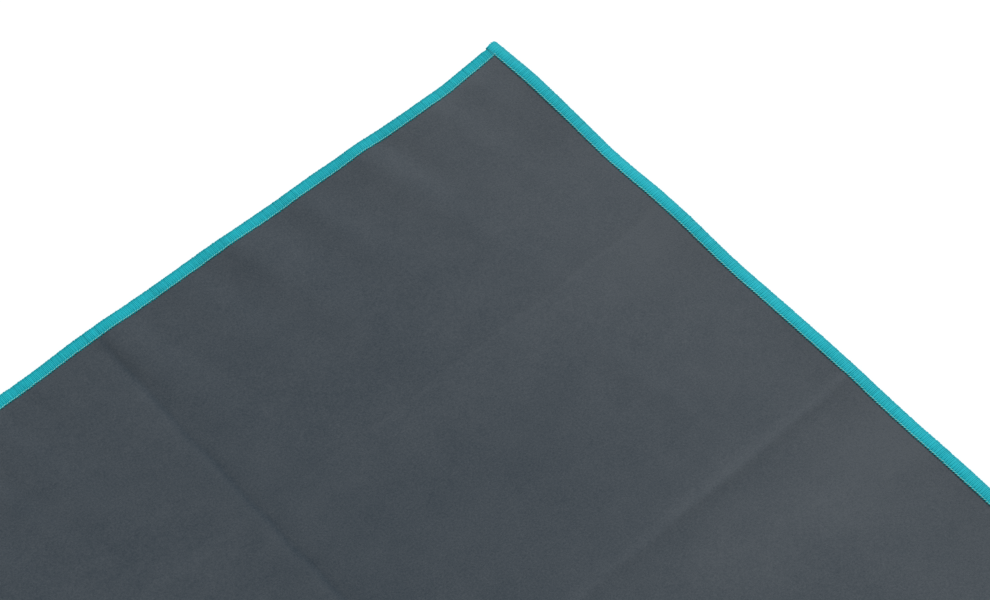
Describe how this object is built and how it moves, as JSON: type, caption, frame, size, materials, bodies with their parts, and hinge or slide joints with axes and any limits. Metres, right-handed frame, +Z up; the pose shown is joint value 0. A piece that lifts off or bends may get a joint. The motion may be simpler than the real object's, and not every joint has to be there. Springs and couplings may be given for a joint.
{
  "type": "quick dry towel",
  "caption": "Thin flat rectangular travel towel in brushed suede microfibre, its edges bound in a contrasting overlocked thread seam that closes each corner with a short trimmed tail.",
  "frame": {"origin": "centre of the underside, on the surface the towel lies on", "axes": "+X along the towel's length, +Y along its width, +Z up out of its upper face"},
  "size_m": [0.802, 0.402, 0.0012],
  "materials": {
    "microfibre": "matte",
    "seam_thread": "matte"
  },
  "bodies": {
    "root": {"towel_cloth": "microfibre", "upper_looper_thread_right": "seam_thread", "upper_looper_thread_back": "seam_thread", "upper_looper_thread_left": "seam_thread", "upper_looper_thread_front": "seam_thread", "lower_looper_thread_right": "seam_thread", "lower_looper_thread_back": "seam_thread", "lower_looper_thread_left": "seam_thread", "lower_looper_thread_front": "seam_thread", "needle_thread_right": "seam_thread", "needle_thread_back": "seam_thread", "needle_thread_left": "seam_thread", "needle_thread_front": "seam_thread", "thread_tail_right": "seam_thread", "thread_tail_back": "seam_thread", "thread_tail_left": "seam_thread", "thread_tail_front": "seam_thread"}
  },
  "joints": []
}
